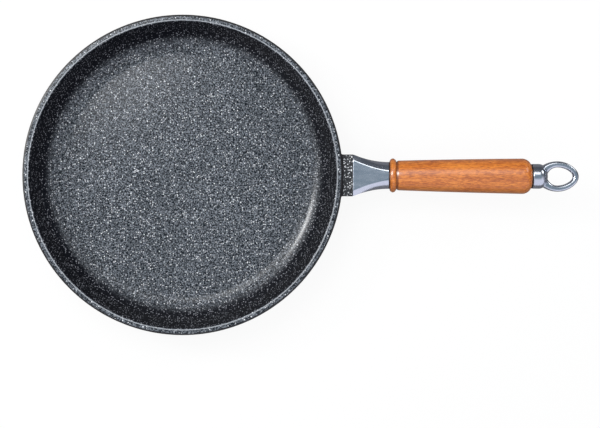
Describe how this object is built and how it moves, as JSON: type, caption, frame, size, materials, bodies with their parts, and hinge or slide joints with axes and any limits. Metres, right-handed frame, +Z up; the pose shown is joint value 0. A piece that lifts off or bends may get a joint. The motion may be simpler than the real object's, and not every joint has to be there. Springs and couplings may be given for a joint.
{
  "type": "frying pan",
  "caption": "Round cast frying pan with a flared lip, speckled nonstick inside, flame guard, turned wooden handle and screw-on hanging loop.",
  "frame": {"origin": "middle of the underside of the bowl, on the resting plane", "axes": "+X runs from the bowl out along the handle, +Z up out of the bowl, and +Y across, so that the shape is the same on both sides of Y = 0"},
  "size_m": [0.4813, 0.28, 0.068],
  "materials": {
    "body_coat": "matte dark coat on cast aluminium, faintly speckled",
    "nonstick": "dark slate stone-look nonstick with light speckle, soft sheen",
    "base_steel": "spun steel",
    "fastener_steel": "zinc-plated steel",
    "guard_metal": "satin polished",
    "washer_plastic": "black, matte",
    "handle_wood": "satin varnish, fine grain along the handle",
    "loop_metal": "satin polished"
  },
  "bodies": {
    "pan": {"pan_body": "body_coat", "nonstick_lining": "nonstick", "base_disc": "base_steel", "rod_insert": "fastener_steel", "tie_rod": "fastener_steel", "lock_washer": "fastener_steel", "lock_nut": "fastener_steel", "flame_guard": "guard_metal", "front_washer": "washer_plastic", "wooden_handle": "handle_wood"},
    "loose_washer": {"end_washer": "washer_plastic"},
    "loop": {"hanging_loop": "loop_metal"}
  },
  "joints": [
    {"name": "washer_slide", "type": "slide", "parent": "pan", "child": "loose_washer", "axis": [0.9895, 0, 0.1444], "range_m": [0, 0.0063]},
    {"name": "loop_turn", "type": "hinge", "parent": "loose_washer", "child": "loop", "pos_m": [0.1505, 0, 0.0318], "axis": [0.9895, 0, 0.1444], "range_deg": [0, 1800]}
  ],
  "couplings": [
    {"joint": "washer_slide", "follows": "loop_turn", "m_per_rad": 0.00019894}
  ]
}
